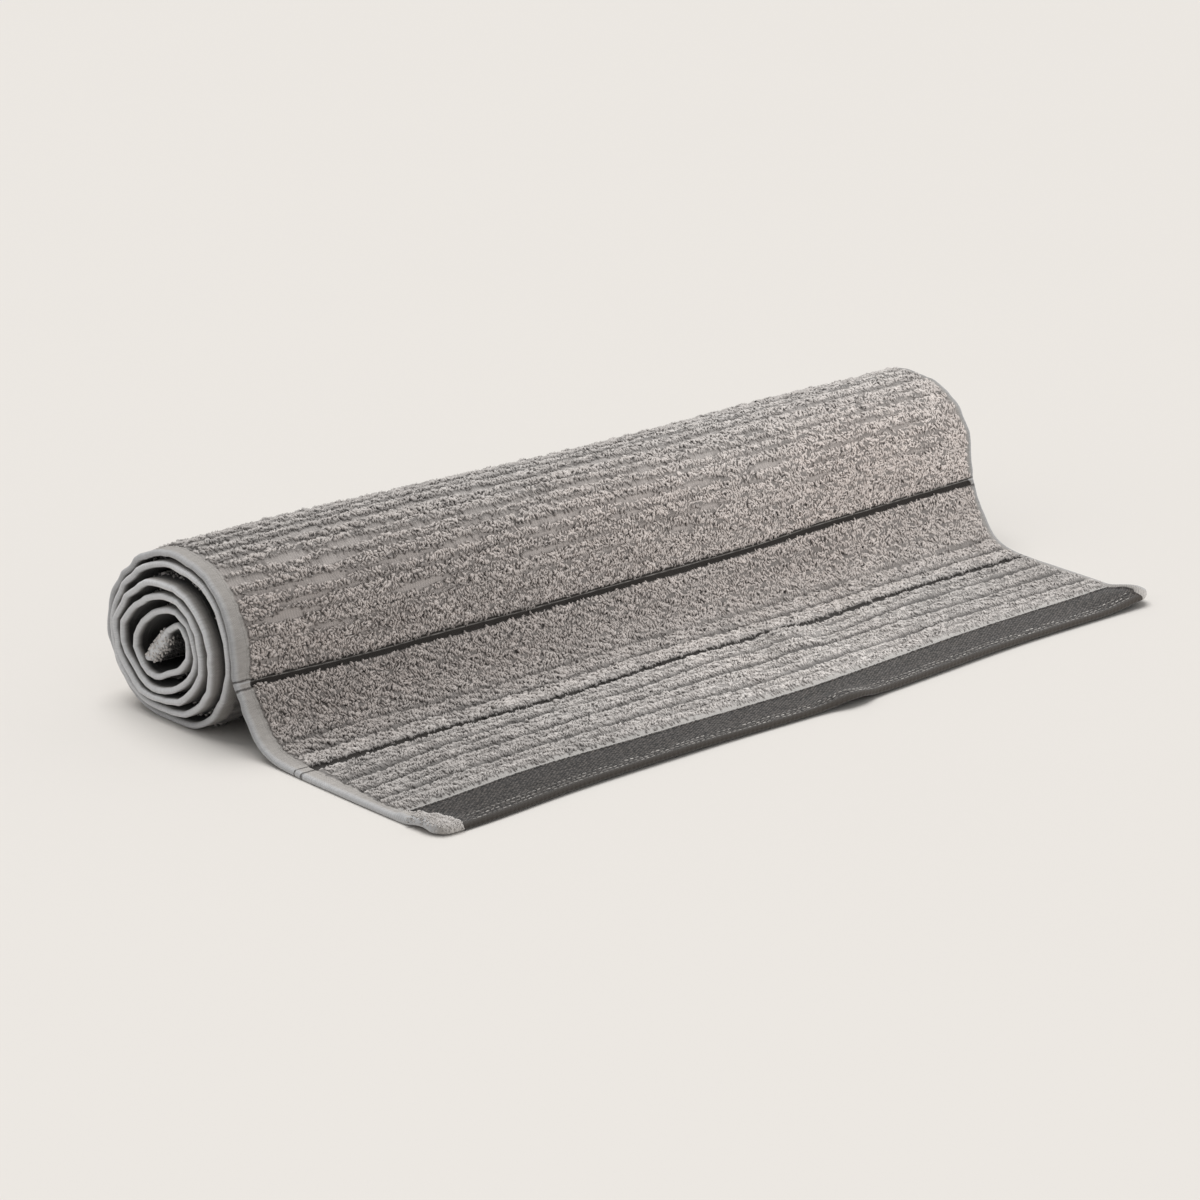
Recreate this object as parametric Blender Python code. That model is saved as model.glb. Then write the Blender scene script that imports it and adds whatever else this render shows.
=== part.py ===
"""A rolled bath towel: one piece of terry cloth, wound up from one end, its last stretch laid out flat.

The towel lies on the plane z = 0 with the roll along X. The loose end points to -Y.
The origin is under the middle of its bounding box. Sizes below are in millimetres.
"""

import math

import bmesh
import bpy
from mathutils import Vector

MM = 0.001

CLOTH_WIDTH = 700.0
CLOTH_THICK = 5.0
HALF_THICK = CLOTH_THICK / 2

# The roll's centre line: its height, and how far it lies behind the drum's foot.
CENTRE_HEIGHT = 53.0
CENTRE_BACK = 4.0

# Distance of the cloth's middle from the centre line, for each turn from the outside in, looking
# along the roll from its left end. The loose end comes up the front and goes over the top to the back.
# shift is how far the turn has slid to the left of the outermost one.
TURN_COLUMNS = ("front", "front_top", "top", "back_top", "back", "back_bottom", "bottom", "front_bottom", "shift")
TURNS = (
    (70.0, 71.0, 63.8, 60.4, 65.8, 58.2, 51.5, 59.0, 0.0),
    (63.7, 64.3, 56.8, 53.8, 59.4, 51.9, 44.3, 49.0, 0.3),
    (53.5, 50.0, 44.5, 45.0, 51.0, 45.0, 37.4, 39.5, 6.0),
    (43.5, 42.0, 36.0, 35.0, 43.5, 38.2, 30.4, 30.5, 7.0),
    (35.3, 33.8, 26.0, 23.5, 30.5, 31.0, 19.5, 19.5, 5.0),
    (24.5, 25.5, None, None, None, None, None, None, 3.0),
)
DIRECTIONS = 8
STEPS_PER_DIRECTION = 3

# The innermost end hem leaves the last turn at the top and slants down through the middle.
CORE_COLUMNS = ("back", "height")
CORE = (
    (-4.5, 71.0),
    (2.5, 65.5),
    (9.0, 58.0),
    (15.5, 50.5),
    (21.5, 43.0),
)
CORE_SHIFT = 1.0

# The stretch between the drum's front and the floor, then the flat stretch to the front hem.
FOOT_COLUMNS = ("reach", "height")
FOOT = (
    (137.0, HALF_THICK),
    (117.0, 3.2),
    (104.0, 5.4),
    (94.0, 10.0),
    (86.0, 17.0),
    (79.5, 25.5),
    (74.0, 35.0),
    (69.0, 44.5),
)
FLAT_REACHES = (271.0, 262.0, 251.0, 240.0, 228.0, 214.0, 196.0, 176.0, 156.0)
FLAT_FROM = 137.0

# Where along the width the sections lie, as a share of it. They crowd towards the two corners.
STATIONS = (0.0, 0.02, 0.05, 0.12, 0.25, 0.38, 0.5, 0.62, 0.75, 0.87, 0.94, 0.975, 1.0)

# Towards the right the roll is a little shallower from front to back, and its loose end shorter.
RIGHT_SHALLOWER = 0.03
RIGHT_SHORTER = 0.13
HEM_WAVE = 2.2
HEM_WAVES = 2.2
DRUM_WAVE = 0.012
DRUM_WAVES = 1.4

# The two front corners arch off the floor behind their tips, and their tips are drawn in sideways.
# across and along are how far the arch spreads, as shares of the width and of the flat stretch.
CORNER_COLUMNS = ("station", "across", "out", "along", "lift", "drawn")
CORNERS = (
    (1.0, 0.06, 0.85, 0.18, 9.0, -9.0),
    (0.0, 0.035, 0.88, 0.14, 3.0, 3.0),
)


def between(a, b, c, d, t):
    """A smooth curve's value at share t of the way from b to c, with a before them and d after."""
    return b + 0.5 * t * (c - a + t * (2 * a - 5 * b + 4 * c - d + t * (3 * (b - c) + d - a)))


def smooth_run(rows, steps):
    """The rows joined by a smooth curve, with steps points from each row to the next."""
    ends = [rows[0], *rows, rows[-1]]
    run = []
    for k in range(len(rows) - 1):
        for step in range(steps):
            columns = zip(*ends[k : k + 4])
            run.append(tuple(between(*column, step / steps) for column in columns))
    run.append(rows[-1])
    return run


def wound_part():
    """The middle line of the wound cloth as (y, z, shift), from the drum's front to the last turn's top."""
    spokes = []
    for row, after in zip(TURNS, TURNS[1:] + (TURNS[-1],)):
        for direction, radius in enumerate(row[:DIRECTIONS]):
            if radius is not None:
                share = direction / DIRECTIONS
                spokes.append((radius, row[-1] * (1 - share) + after[-1] * share))
    line = []
    for step, (radius, shift) in enumerate(smooth_run(spokes, STEPS_PER_DIRECTION)):
        angle = step * 2 * math.pi / (DIRECTIONS * STEPS_PER_DIRECTION)
        y = CENTRE_BACK - radius * math.cos(angle)
        z = max(CENTRE_HEIGHT + radius * math.sin(angle), HALF_THICK)
        line.append((y, z, shift))
    return line


def section():
    """The middle line of the whole cloth as (y, z, shift), from the front hem to the hem in the core."""
    flat = [(-reach, HALF_THICK, 0.0) for reach in FLAT_REACHES]
    foot = [(-reach, height, 0.0) for reach, height in FOOT]
    core = [(back, height, CORE_SHIFT) for back, height in CORE]
    return flat + foot + wound_part() + core


def hump(value, middle, half_width):
    """One at the middle, falling smoothly to nothing half_width away from it."""
    off = min(abs(value - middle) / half_width, 1.0)
    return (1 + math.cos(math.pi * off)) / 2


def share_out(y):
    """How far out along the flat stretch a point lies: nothing at its root, one at the front hem."""
    return max(-y - FLAT_FROM, 0.0) / (FLAT_REACHES[0] - FLAT_FROM)


def lie(y, z, station):
    """Where a section's point lies at this share of the width: wavy, and lifted at the corners."""
    fuller = 1 + DRUM_WAVE * math.sin(2 * math.pi * DRUM_WAVES * station)
    deeper = fuller - RIGHT_SHALLOWER * station
    out = share_out(y)
    wave = HEM_WAVE * math.sin(2 * math.pi * HEM_WAVES * station)
    pulled = (RIGHT_SHORTER * station * (FLAT_REACHES[0] - FLAT_FROM) - wave) * out
    lift = sum(
        height * hump(station, corner, across) * hump(out, middle, along)
        for corner, across, middle, along, height, _ in CORNERS
    )
    drum = max(y, -FLAT_FROM)
    return y + drum * (deeper - 1) + pulled, HALF_THICK + (z - HALF_THICK) * fuller + lift


def sideways(y, station):
    """How far a point of the flat stretch is drawn in near its two corners."""
    return sum(
        drawn * hump(station, corner, across) * share_out(y) ** 3
        for corner, across, _, _, _, drawn in CORNERS
    )


def towel_mesh():
    """The cloth's middle surface: a row of points across the width for each point of the section."""
    mesh = bmesh.new()
    rows = []
    for y, z, shift in section():
        row = []
        for station in STATIONS:
            x = (station - 0.5) * CLOTH_WIDTH - shift + sideways(y, station)
            row.append(mesh.verts.new(Vector((x, *lie(y, z, station))) * MM))
        rows.append(row)
    for row, after in zip(rows, rows[1:]):
        for k in range(len(STATIONS) - 1):
            mesh.faces.new((row[k], row[k + 1], after[k + 1], after[k]))
    return mesh


def thicken(towel):
    """Gives the middle surface the cloth's thickness and presses what lies on the floor flat."""
    thick = towel.modifiers.new("thickness", "SOLIDIFY")
    thick.thickness = CLOTH_THICK * MM
    thick.offset = 0.0
    thick.use_even_offset = True
    view = bpy.context.evaluated_depsgraph_get()
    towel.data = bpy.data.meshes.new_from_object(towel.evaluated_get(view))
    towel.modifiers.remove(thick)
    for vertex in towel.data.vertices:
        vertex.co.z = max(vertex.co.z, 0.0)


def centre_on_origin(data):
    """Moves the mesh so that the origin is under the middle of its bounding box."""
    across = [vertex.co.x for vertex in data.vertices]
    along = [vertex.co.y for vertex in data.vertices]
    middle = Vector((min(across) + max(across), min(along) + max(along), 0.0)) / 2
    for vertex in data.vertices:
        vertex.co -= middle


def terry():
    """Light warm-grey cotton terry."""
    material = bpy.data.materials.new("terry")
    material.use_nodes = True
    shader = material.node_tree.nodes["Principled BSDF"]
    shader.inputs["Base Color"].default_value = (0.36, 0.345, 0.33, 1.0)
    shader.inputs["Roughness"].default_value = 0.95
    shader.inputs["Metallic"].default_value = 0.0
    return material


def build_towel():
    data = bpy.data.meshes.new("towel")
    mesh = towel_mesh()
    mesh.to_mesh(data)
    mesh.free()
    data.materials.append(terry())
    towel = bpy.data.objects.new("towel", data)
    bpy.context.scene.collection.objects.link(towel)
    thicken(towel)
    centre_on_origin(towel.data)
    towel.data.shade_smooth()
    towel.data.set_sharp_from_angle(angle=math.radians(50))


for old in list(bpy.data.objects):
    bpy.data.objects.remove(old, do_unlink=True)
build_towel()
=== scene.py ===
"""The looks of the rolled bath towel: terry with charcoal stripes, flat side hems and a charcoal border.

The cloth is worked out in its own two directions, in millimetres. across is the distance from its left
edge, and along is the distance from the hem that lies in front, up over the roll and into its middle.
"""

import math

import bpy
import numpy as np
from mathutils import Matrix, Vector


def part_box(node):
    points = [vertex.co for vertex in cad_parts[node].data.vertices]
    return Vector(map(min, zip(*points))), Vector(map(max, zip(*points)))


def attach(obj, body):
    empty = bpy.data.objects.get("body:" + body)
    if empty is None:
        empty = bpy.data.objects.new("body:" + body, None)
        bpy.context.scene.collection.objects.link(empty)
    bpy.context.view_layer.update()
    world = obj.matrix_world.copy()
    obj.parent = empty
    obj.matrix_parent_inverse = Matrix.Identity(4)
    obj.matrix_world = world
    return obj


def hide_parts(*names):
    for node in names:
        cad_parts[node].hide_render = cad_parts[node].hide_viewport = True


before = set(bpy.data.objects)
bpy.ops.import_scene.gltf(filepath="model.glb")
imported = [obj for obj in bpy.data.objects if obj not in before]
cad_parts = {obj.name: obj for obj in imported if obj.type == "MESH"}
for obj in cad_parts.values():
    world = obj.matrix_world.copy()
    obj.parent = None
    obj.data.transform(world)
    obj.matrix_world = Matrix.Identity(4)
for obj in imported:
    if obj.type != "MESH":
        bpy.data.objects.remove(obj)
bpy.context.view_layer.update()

MM = 0.001

# The cloth's middle line, with the same sizes as the solid that it replaces
CLOTH_WIDTH = 700
CLOTH_LENGTH = 1730
HALF_THICK = 2.5
CENTRE_HEIGHT = 53
CENTRE_BACK = 4
TURN_COLUMNS = (
    "front", "front_top", "top", "back_top", "back", "back_bottom", "bottom", "front_bottom", "shift"
)
TURNS = (
    (70, 71, 63.8, 60.4, 65.8, 58.2, 51.5, 59, 0),
    (63.7, 64.3, 56.8, 53.8, 59.4, 51.9, 44.3, 49, 0.3),
    (53.5, 50, 44.5, 45, 51, 45, 37.4, 39.5, 6),
    (43.5, 42, 36, 35, 43.5, 38.2, 30.4, 30.5, 7),
    (35.3, 33.8, 26, 23.5, 30.5, 31, 19.5, 19.5, 5),
    (24.5, 25.5, None, None, None, None, None, None, 3),
)
DIRECTIONS = 8
STEPS_PER_DIRECTION = 3
CORE_COLUMNS = ("back", "height")
CORE = ((-5.5, 70.5), (2.5, 64), (9.8, 56), (17.6, 47.2), (26.2, 37.6))
CORE_SHIFT = 1
FOOT_COLUMNS = ("reach", "height")
FOOT = ((137, HALF_THICK), (117, 3.2), (104, 5.4), (94, 10), (86, 17), (79.5, 25.5), (74, 35), (69, 44.5))
FLAT_REACHES = (271, 262, 251, 240, 228, 214, 196, 176, 156)
FLAT_FROM = 137
RIGHT_SHALLOWER = 0.03
RIGHT_SHORTER = 0.13
HEM_WAVE = 2.2
HEM_WAVES = 2.2
DRUM_WAVE = 0.012
DRUM_WAVES = 1.4
CORNER_COLUMNS = ("station", "across", "out", "along", "lift", "drawn")
CORNERS = (
    (1, 0.08, 0.86, 0.26, 6, -1.5),
    (0, 0.035, 0.88, 0.14, 3, 3),
)

# Where the woven lines run: the cloth's own distance, then how far along they lie at seven places across
LINE_PLACES = (20, 120, 230, 350, 450, 560, 680)
LINE_COLUMNS = ("name", "woven_at", "at_20", "at_120", "at_230", "at_350", "at_450", "at_560", "at_680")
LINES = (
    ("hem", 0, 0, 5.5, 0, -3.5, -2, 1.5, 3.5),
    ("border_edge", 43, 43, 49.5, 41, 36.5, 40, 45, 48.5),
    ("groove_1", 70, 67, 76, 70, 66, 66.5, 73, 71),
    ("groove_2", 92, 85, 96, 93, 95, 92.5, 95, 97),
    ("groove_3", 114, 104, 118, 113, 116, 107, 119, 122),
    ("stripe_low", 137, 136.5, 137, 133, 138, 134, 143, 144),
    ("groove_4", 159, 158, 159, 157, 159, 158, 161, 163),
    ("stripe_high", 220, 221.5, 219, 219, 219.5, 220.5, 223, 226),
    ("ridges", 265, 266, 264, 265, 266, 264, 265, 266),
    ("core_hem", CLOTH_LENGTH, *[CLOTH_LENGTH] * 7),
)

# How far the two front corners are rounded off, and the two side hems' widths
LEFT_ROUND = 12
RIGHT_ROUND = 12
LEFT_TAPE = 13
RIGHT_TAPE = 6
RIGHT_TIP_TAPE = 7

# Towards the front the left side hem gets slimmer and the right one wider, below a place and over a run
LEFT_SLIMMER = 5
LEFT_SLIM_BELOW = (150, 90)
RIGHT_TIP_BELOW = (36, 26)

# The degrees round the right front corner between which its side hem ends
TIP_TURN = (50, 90)

# How much the side hems' inner edges wander and waver, and where along that begins and is full
TAPE_WANDER = 1
TAPE_WAVER = 0.5
TAPE_WANDER_FROM = (20, 60)

# Bands of the cloth by their woven distance along it
BORDER_TO = 43
LIP_FROM = BORDER_TO - 0.8
LIP_TO = BORDER_TO + 0.4
PILE_FROM = 45.8
STRIPE_COLUMNS = ("middle", "half_width", "ragged")
STRIPES = ((138, 2.7, 1.1), (219.8, 1.9, 0.6))
SHOWN_TO = 600
CORE_FROM = 1697
CORE_RUN = 9

# The terry lobe in the left front corner: its size, the runs over which it widens and narrows forwards
TUFT_ALONG = 42
TUFT_ACROSS = 27
TUFT_WIDENING = 30
TUFT_NARROWER = 3
TUFT_FRONT = 7

# Flat woven channels between the ridges of pile. open is the usual half width, swing how much it varies.
CHANNEL_COLUMNS = ("middle", "open", "swing", "wander")
FLAP_CHANNELS = (
    (57.5, -0.9, 1.2, 1.4),
    (69, 1.4, 0.9, 1.8),
    (81, -1.3, 1.5, 1.4),
    (92, 1.4, 0.9, 1.9),
    (103, -1.3, 1.5, 1.4),
    (114, 1.5, 1, 1.7),
    (126, -0.8, 1.5, 1.4),
    (159, 0.7, 0.6, 0.6),
    (174, -0.2, 1, 0.9),
)
ROLL_CHANNELS = (
    (234, -2.6, 2.6, 1.5),
    (248, -1.2, 2.2, 1.5),
    (258, -0.3, 2, 1.5),
    (268, -0.3, 1.6, 1.2),
    (277, 0.7, 1.6, 1.2),
    (288, 0.1, 1.6, 1.2),
    (297, 0.9, 1.4, 1.2),
    (306, -0.3, 1.4, 1.2),
    (317, 1.5, 0.9, 1),
    (329, 0.7, 1.3, 1.2),
)

# Past those the channels repeat at a pitch, uneven by these lowest and highest amounts
RIDGE_PITCH = 10.2
RIDGE_PITCH_SPREAD = (0.85, 1.15)
RIDGE_OPEN = 0.4
RIDGE_OPEN_SPREAD = (-0.7, 0.5)
RIDGE_SWING = 1.1
RIDGE_WANDER = 1.3

# The roll's channels are wider near the left end, and narrower over the right half
LEFT_OPEN = 0.6
LEFT_OPEN_TO = 190
RIGHT_CLOSED = 1.1

# How far the cloth's faces stand from its middle line, how uneven they are and how far they take to rise
INNER_FACE = 2.4
TAPE_FACE = 2
TAPE_UNEVEN = 0.15
BORDER_FACE = 0.2
HEM_FACE = 1.3
HEM_TO = 5.5
LIP_FACE = 1.1
GROUND_FACE = 0.4
PILE_RISE = 2.1
RIB_RISE = 3.1
RISE_OVER = 1.8
RIB_OVER = 3.2
CLUMP = 1.1
RIB_CLUMP = 1
EDGE_ROUND = 2.2
TUFT_RISE = 2
CORE_SWELL = 3.1
CORE_ROUND = 6

# A small fold in the front hem: its place across and its spread, then how far out, up and back it goes
HEM_FOLD = (378, 30)
HEM_FOLD_OUT = 4
HEM_FOLD_LIFT = 4.6
HEM_FOLD_REACH = 24

# A wrinkle in the flap behind that fold: its place and reach each way, how it leans and how high it is
WRINKLE_ACROSS = (424, 34)
WRINKLE_ALONG = (112, 44)
WRINKLE_LEAN = 0.35
WRINKLE_LIFT = 5.5

# How far the front hem stands off the floor, how far back that reaches, and where it begins and is full
HEM_RAISE = 1
HEM_RAISE_REACH = 26
HEM_RAISE_ACROSS = (40, 170)

# Where along the cloth and how high the wound part's dents begin and are full
WOUND_ALONG = (150, 230)
WOUND_HEIGHT = (3, 22)
INNER_TURNS = (560, 700)

# The dents and kinks, and the unevenness of the two ends: how deep they are and how far apart
DENT = 0.9
DENT_REACH = 34
DENT_END_REACH = 60
KINK = 0.6
KINK_REACH = 12
KINK_END_REACH = 25
END_SWAY = 0.9
END_SWAY_REACH = 48
END_NICK = 0.45
END_NICK_REACH = 13

# How many waves make up an unevenness, and what brings their mean up to about 1
WAVE_COUNT = 5
WAVE_HEIGHT = 1.6

# Distances between the mesh's rows where the cloth shows, inside the roll and on its folded inner end
ROW_STEP = 1.9
HIDDEN_ROW_STEP = 7
CORE_ROW_STEP = 2

# Terry loops: lowest and highest sizes, how deep their ends are sunk, and the height that none grows below
LOOP_PITCH_ACROSS = 1.7
LOOP_PITCH_ALONG = 2.25
LOOP_SCATTER = 0.42
LOOP_LENGTH = (2.9, 4.6)
LOOP_HALF_WIDTH = (0.6, 0.88)
LOOP_HEIGHT = (1, 1.9)
LOOP_SINK = 0.35
LOOP_TILT = 0.16
LOOP_FLOOR = 1.2
FLOOR_CLEAR = 0.15

# A loop's two rings, as a share of its length from its middle, and the first ring's height
LOOP_RING = 0.22
LOOP_FIRST_RING = 0.92

# Painted shade on a loop's eight points, darkest at its sunk ends. The painted shading is softer on the
# flap and towards the right
LOOP_LIGHT = (0.52, 0.97, 0.87, 0.87, 1, 0.87, 0.87, 0.52)
FLAP_SOFTER = 0.78
FLAP_SOFT_BELOW = (165, 30)
RIGHT_SOFTER = 0.85
RIGHT_LOWER = 0.3
RIGHT_RUN = (170, 560)

# Painted shade on the loops at a ridge's lower and upper edges: how light they are against those on its top
LOWER_EDGE_LIGHT = 0.5
UPPER_EDGE_LIGHT = 0.84
EDGE_FROM = 0.4
LOWER_EDGE_REACH = 4
UPPER_EDGE_REACH = 2.4

# The border's stitches: their rows, step and size as length, half width and height
STITCH_ROWS = (6.5, 10.5, 14.5)
STITCH_STEP = 4.6
STITCH_SIZE = (5, 0.45, 0.45)
STITCH_WANDER = 0.9

# The view, in metres from the model's middle as it stood before it was centred
VIEW_FROM = (-2.0334, -2.2628, 1.0486)
VIEW_DOWN = math.radians(18.82)
VIEW_TURN = math.radians(42.41)
VIEW_ROLL = math.radians(1.15)
LENS_LENGTH = 135
LENS_WIDTH = 36

# The sky, the sun and the fill lamp, the lamp's places in metres
SKY_STRENGTH = 0.44
SUN_STRENGTH = 1.99
SUN_ANGLE = math.radians(45)
SUN_TOWARDS = (-0.02, -0.3, -1)
FILL_POWER = 6.7
FILL_SIZE = 0.7
FILL_FROM = (0.38, -0.78, 0.32)
FILL_AT = (0.1, 0, 0.04)
FLOOR_REACH = 30


def between(a, b, c, d, t):
    """A smooth curve's value at share t of the way from b to c, with a before them and d after."""
    return b + 0.5 * t * (c - a + t * (2 * a - 5 * b + 4 * c - d + t * (3 * (b - c) + d - a)))


def smooth_run(rows, steps):
    """The rows joined by a smooth curve, with steps points from each row to the next."""
    ends = [rows[0], *rows, rows[-1]]
    run = []
    for k in range(len(rows) - 1):
        for step in range(steps):
            columns = zip(*ends[k : k + 4])
            run.append(tuple(between(*column, step / steps) for column in columns))
    run.append(rows[-1])
    return run


def wound_part():
    """The middle line of the wound cloth as (y, z, shift), from the drum's front to the last turn's top."""
    spokes = []
    for row, after in zip(TURNS, TURNS[1:] + (TURNS[-1],)):
        for direction, radius in enumerate(row[:DIRECTIONS]):
            if radius is not None:
                share = direction / DIRECTIONS
                spokes.append((radius, row[-1] * (1 - share) + after[-1] * share))
    line = []
    for step, (radius, shift) in enumerate(smooth_run(spokes, STEPS_PER_DIRECTION)):
        angle = step * 2 * math.pi / (DIRECTIONS * STEPS_PER_DIRECTION)
        y = CENTRE_BACK - radius * math.cos(angle)
        z = max(CENTRE_HEIGHT + radius * math.sin(angle), HALF_THICK)
        line.append((y, z, shift))
    return line


def section():
    """The middle line of the whole cloth as (y, z, shift), from the front hem to the hem in the core."""
    flat = [(-reach, HALF_THICK, 0) for reach in FLAT_REACHES]
    foot = [(-reach, height, 0) for reach, height in FOOT]
    core = [(back, height, CORE_SHIFT) for back, height in CORE]
    return flat + foot + wound_part() + core


def hump(value, middle, half_width):
    """One at the middle, falling smoothly to nothing half_width away from it."""
    off = np.minimum(np.abs(value - middle) / half_width, 1)
    return (1 + np.cos(np.pi * off)) / 2


def share_out(y):
    """How far out along the flat stretch a point lies: nothing at its root, one at the front hem."""
    return np.maximum(-y - FLAT_FROM, 0) / (FLAT_REACHES[0] - FLAT_FROM)


def lie(y, z, station):
    """Where a section's point lies at this share of the width: wavy, and lifted at the corners."""
    fuller = 1 + DRUM_WAVE * np.sin(2 * np.pi * DRUM_WAVES * station)
    deeper = fuller - RIGHT_SHALLOWER * station
    out = share_out(y)
    wave = HEM_WAVE * np.sin(2 * np.pi * HEM_WAVES * station)
    pulled = (RIGHT_SHORTER * station * (FLAT_REACHES[0] - FLAT_FROM) - wave) * out
    lift = sum(
        height * hump(station, corner, across) * hump(out, middle, along)
        for corner, across, middle, along, height, _ in CORNERS
    )
    drum = np.maximum(y, -FLAT_FROM)
    return y + drum * (deeper - 1) + pulled, HALF_THICK + (z - HALF_THICK) * fuller + lift


def sideways(y, station):
    """How far a point of the flat stretch is drawn in near its two corners."""
    return sum(
        drawn * hump(station, corner, across) * share_out(y) ** 3
        for corner, across, _, _, _, drawn in CORNERS
    )


def placed(y, z, shift, station):
    """Section points at shares of the width, as points in millimetres before the model is centred."""
    x = (station - 0.5) * CLOTH_WIDTH - shift + sideways(y, station)
    lying_y, lying_z = lie(y, z, station)
    return np.stack([x, lying_y, lying_z], axis=-1)


def middle_line():
    """The section as a fine smooth line: distance along the cloth, y, z and shift."""
    rows = np.array(smooth_run(section(), 8))
    steps = np.hypot(np.diff(rows[:, 0]), np.diff(rows[:, 1]))
    distance = np.concatenate([[0], np.cumsum(steps)])
    return distance, rows[:, 0], rows[:, 1], rows[:, 2]


def centring():
    """The move from the section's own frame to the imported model's, in millimetres."""
    rows = np.array(section())
    corners = np.concatenate([placed(rows[:, 0], rows[:, 1], rows[:, 2], side) for side in (0, 1)])
    low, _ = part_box("towel")
    return np.array([low.x / MM - corners[:, 0].min(), low.y / MM - corners[:, 1].min(), 0])


LINE_DISTANCE, LINE_Y, LINE_Z, LINE_SHIFT = middle_line()
TO_MODEL = centring()


def waves(seed, across, along, reach_across, reach_along):
    """A smooth unevenness from about -1 to 1, the same on each run."""
    rng = np.random.default_rng(seed)
    total = np.zeros(np.broadcast(across, along).shape)
    for _ in range(WAVE_COUNT):
        turns_across = rng.uniform(0.5, 1.4) / reach_across * rng.choice([-1, 1])
        turns_along = rng.uniform(0.5, 1.4) / reach_along
        start = rng.uniform(0, 2 * np.pi)
        total = total + np.sin(2 * np.pi * (turns_across * across + turns_along * along) + start)
    return total / WAVE_COUNT * WAVE_HEIGHT

def waves_across(seed, across, reach):
    """Such an unevenness that runs across the cloth only."""
    return waves(seed, across, 0 * across, reach, 1)


def waves_along(seed, along, reach):
    """Such an unevenness that runs along the cloth only."""
    return waves(seed, 0 * along, along, 1, reach)


def step_up(value, start, end):
    """Nothing up to start and one from end on, with a smooth rise between them."""
    share = np.clip((value - start) / (end - start), 0, 1)
    return share * share * (3 - 2 * share)


def step_down(value, start, run):
    """Nothing from start on, rising smoothly downwards to one at a run below it."""
    return step_up(start - value, 0, run)


def blend(first, second, share):
    """The first value, passing into the second as the share goes from nothing to one."""
    return first + (second - first) * share


def smooth_at(places, values, where):
    """Values given at a few places, read on a smooth curve through them."""
    places = np.array(places)
    values = np.array(values)
    where = np.clip(where, places[0], places[-1])
    k = np.clip(np.searchsorted(places, where, side="right") - 1, 0, len(places) - 2)
    before = np.maximum(k - 1, 0)
    after = np.minimum(k + 2, len(places) - 1)
    share = (where - places[k]) / (places[k + 1] - places[k])
    return between(values[before], values[k], values[k + 1], values[after], share)


def corner_cut(across):
    """How far the front hem falls back where its two corners are rounded off."""
    left = np.clip(1 - across / LEFT_ROUND, 0, 1)
    right = np.clip(1 - (CLOTH_WIDTH - across) / RIGHT_ROUND, 0, 1)
    return LEFT_ROUND * (1 - np.sqrt(1 - left**2)) + RIGHT_ROUND * (1 - np.sqrt(1 - right**2))


def side_distance(along, across):
    """How far inside its side hem's edge a place lies. The edge turns in round the right front corner."""
    round_by = RIGHT_ROUND + RIGHT_TIP_TAPE
    over = across - (CLOTH_WIDTH - round_by)
    down = LINES[0][-1] + round_by - along
    turned = np.degrees(np.arctan2(down, np.maximum(over, 1e-6)))
    rounded = round_by - np.hypot(over, down) + round_by * step_up(turned, *TIP_TURN)
    right = np.where((over > 0) & (down > 0), rounded, CLOTH_WIDTH - across)
    return np.minimum(across, right)


def tape_depth(woven, across):
    """How far inside the side hems a place lies: less than nothing on a side hem."""
    tip = (RIGHT_TIP_TAPE - RIGHT_TAPE) * step_down(woven, *RIGHT_TIP_BELOW)
    slimmer = LEFT_SLIMMER * step_down(woven, *LEFT_SLIM_BELOW)
    width = np.where(across < CLOTH_WIDTH / 2, LEFT_TAPE - slimmer, RIGHT_TAPE + tip)
    uneven = TAPE_WANDER * waves_along(70, woven, 55) + TAPE_WAVER * waves_along(69, woven, 9)
    uneven = uneven * step_up(woven, *TAPE_WANDER_FROM)
    return side_distance(along_cloth(woven, across), across) - width - uneven


def tuft_depth(woven, across):
    """How far inside the left front corner's terry lobe a place lies, less than nothing outside it."""
    edge = blend(LEFT_TAPE, TUFT_ACROSS, step_down(woven, TUFT_ALONG, TUFT_WIDENING))
    edge = edge - TUFT_NARROWER * step_down(woven, TUFT_FRONT, TUFT_FRONT)
    return np.minimum(edge - across, TUFT_ALONG - woven)


def along_cloth(woven, across):
    """Where a woven line really lies along the cloth, at this place across."""
    woven, across = np.broadcast_arrays(np.asarray(woven, float), np.asarray(across, float))
    lines = np.array([smooth_at(LINE_PLACES, row[2:], across) for row in LINES])
    lines[0] += corner_cut(across) - HEM_FOLD_OUT * hump(across, *HEM_FOLD)
    lines[-1] = LINE_DISTANCE[-1]
    marks = np.array([row[1] for row in LINES])
    k = np.clip(np.searchsorted(marks, woven, side="right") - 1, 0, len(marks) - 2)
    share = (woven - marks[k]) / (marks[k + 1] - marks[k])
    pick = np.arange(woven.size).reshape(woven.shape)
    flat = lines.reshape(len(marks), -1)
    low = flat[k.ravel(), pick.ravel()].reshape(woven.shape)
    high = flat[k.ravel() + 1, pick.ravel()].reshape(woven.shape)
    return blend(low, high, share)


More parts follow.
